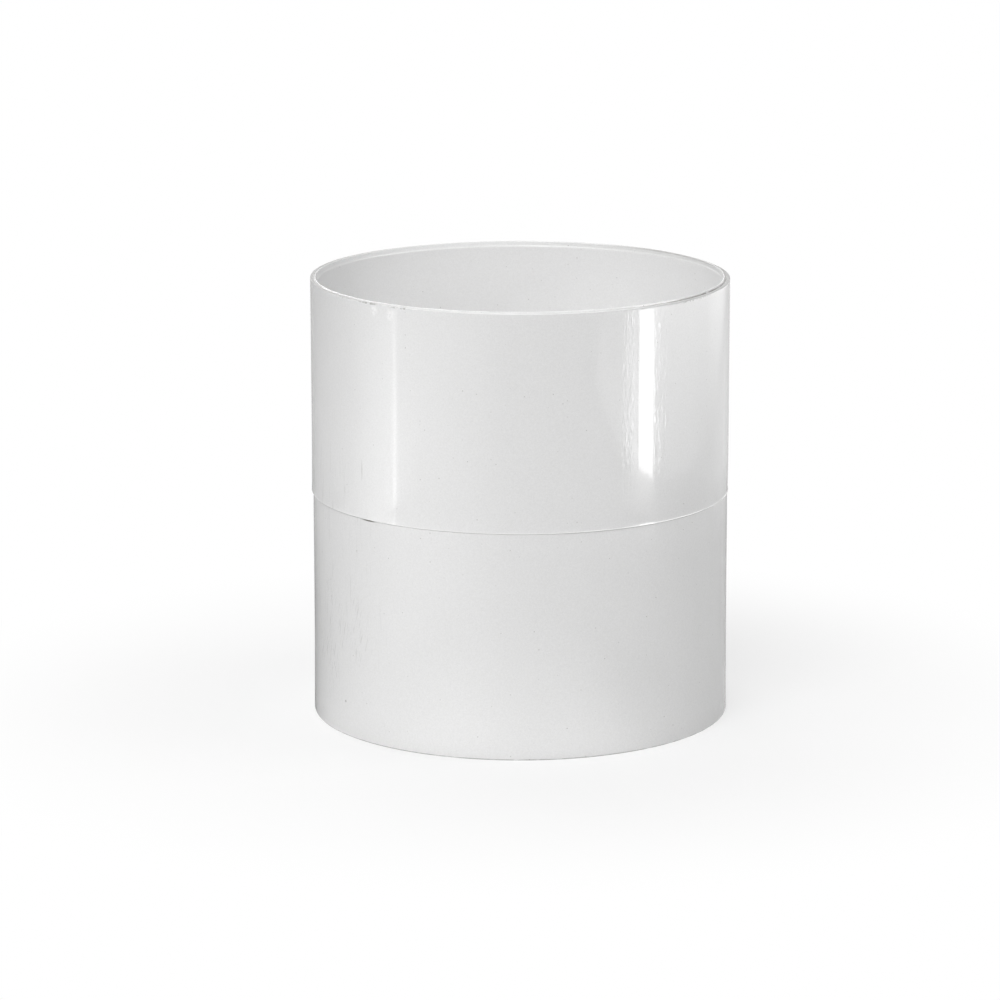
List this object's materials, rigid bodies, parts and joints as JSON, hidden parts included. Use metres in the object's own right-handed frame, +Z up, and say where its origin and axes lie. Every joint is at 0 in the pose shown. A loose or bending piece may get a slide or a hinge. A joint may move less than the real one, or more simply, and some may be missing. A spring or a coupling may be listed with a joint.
{
  "type": "pipe coupling",
  "caption": "Straight thin-walled plastic sleeve with a plain pipe socket at each end, a stop ridge inside and a raised mould line outside, for joining rainwater pipes end to end.",
  "frame": {"origin": "centre of the lower mouth, in the plane of the rim that the coupling stands on", "axes": "+Z up along the pipe axis; the other two are alike, since the part is round"},
  "size_m": [0.0833, 0.0832, 0.088],
  "materials": {
    "white_pvc": "glossy as moulded, with faint draw lines, specks and scuffs"
  },
  "bodies": {
    "root": {"coupling_body": "white_pvc"}
  },
  "joints": []
}
